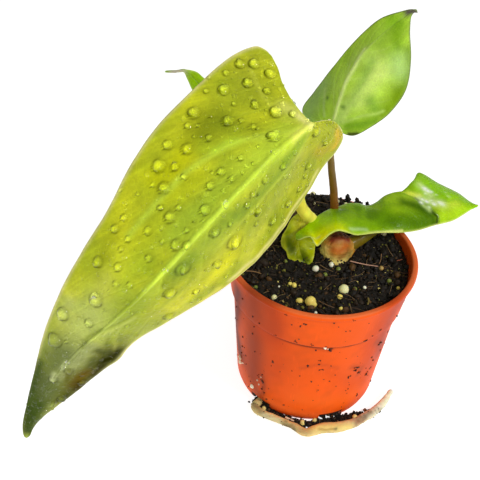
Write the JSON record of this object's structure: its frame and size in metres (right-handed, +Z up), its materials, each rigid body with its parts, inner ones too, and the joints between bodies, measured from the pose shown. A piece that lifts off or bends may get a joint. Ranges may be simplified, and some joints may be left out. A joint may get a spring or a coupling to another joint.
{
  "type": "potted anthurium portillae",
  "caption": "Young anthurium in a small round nursery pot: one long hanging leaf, smaller leaves on bent petioles, soil with feed beads and a root that has crept out at the base.",
  "frame": {"origin": "middle of the pot's flat base, on the surface it stands on", "axes": "+Z up along the pot's axis; +X to the right and +Y away, as seen from the side that the big leaf hangs on"},
  "size_m": [0.1398, 0.0777, 0.1243],
  "materials": {
    "terracotta_plastic": "semi-matt injection-moulded plastic, terracotta orange, with soil crumbs stuck on",
    "potting_soil": "wet peat and bark crumbs with brown fibres",
    "stem_base": "tan and cream, knobbly, with a red-purple spot",
    "root": "cream-yellow, matt, with soil stuck on",
    "yellow_olive_leaf": "satin leaf, yellow-olive with brighter veins, wet with drops",
    "green_leaf": "satin leaf, mid green with paler veins",
    "glossy_leaf": "glossy wet leaf, bright green with a pale edge",
    "petiole": "smooth yellow-green stalk",
    "brown_petiole": "smooth brown stalk, reddish below"
  },
  "bodies": {
    "root": {"nursery_pot": "terracotta_plastic", "potting_soil": "potting_soil", "stem_base": "stem_base", "escaped_root": "root", "big_leaf_blade": "yellow_olive_leaf", "big_leaf_petiole": "petiole", "upright_leaf_blade": "green_leaf", "upright_leaf_petiole": "brown_petiole", "glossy_leaf_blade": "glossy_leaf", "glossy_leaf_petiole": "petiole", "back_leaf_blade": "green_leaf", "back_leaf_petiole": "petiole", "small_leaf_blade": "yellow_olive_leaf", "small_leaf_petiole": "petiole"}
  },
  "joints": []
}
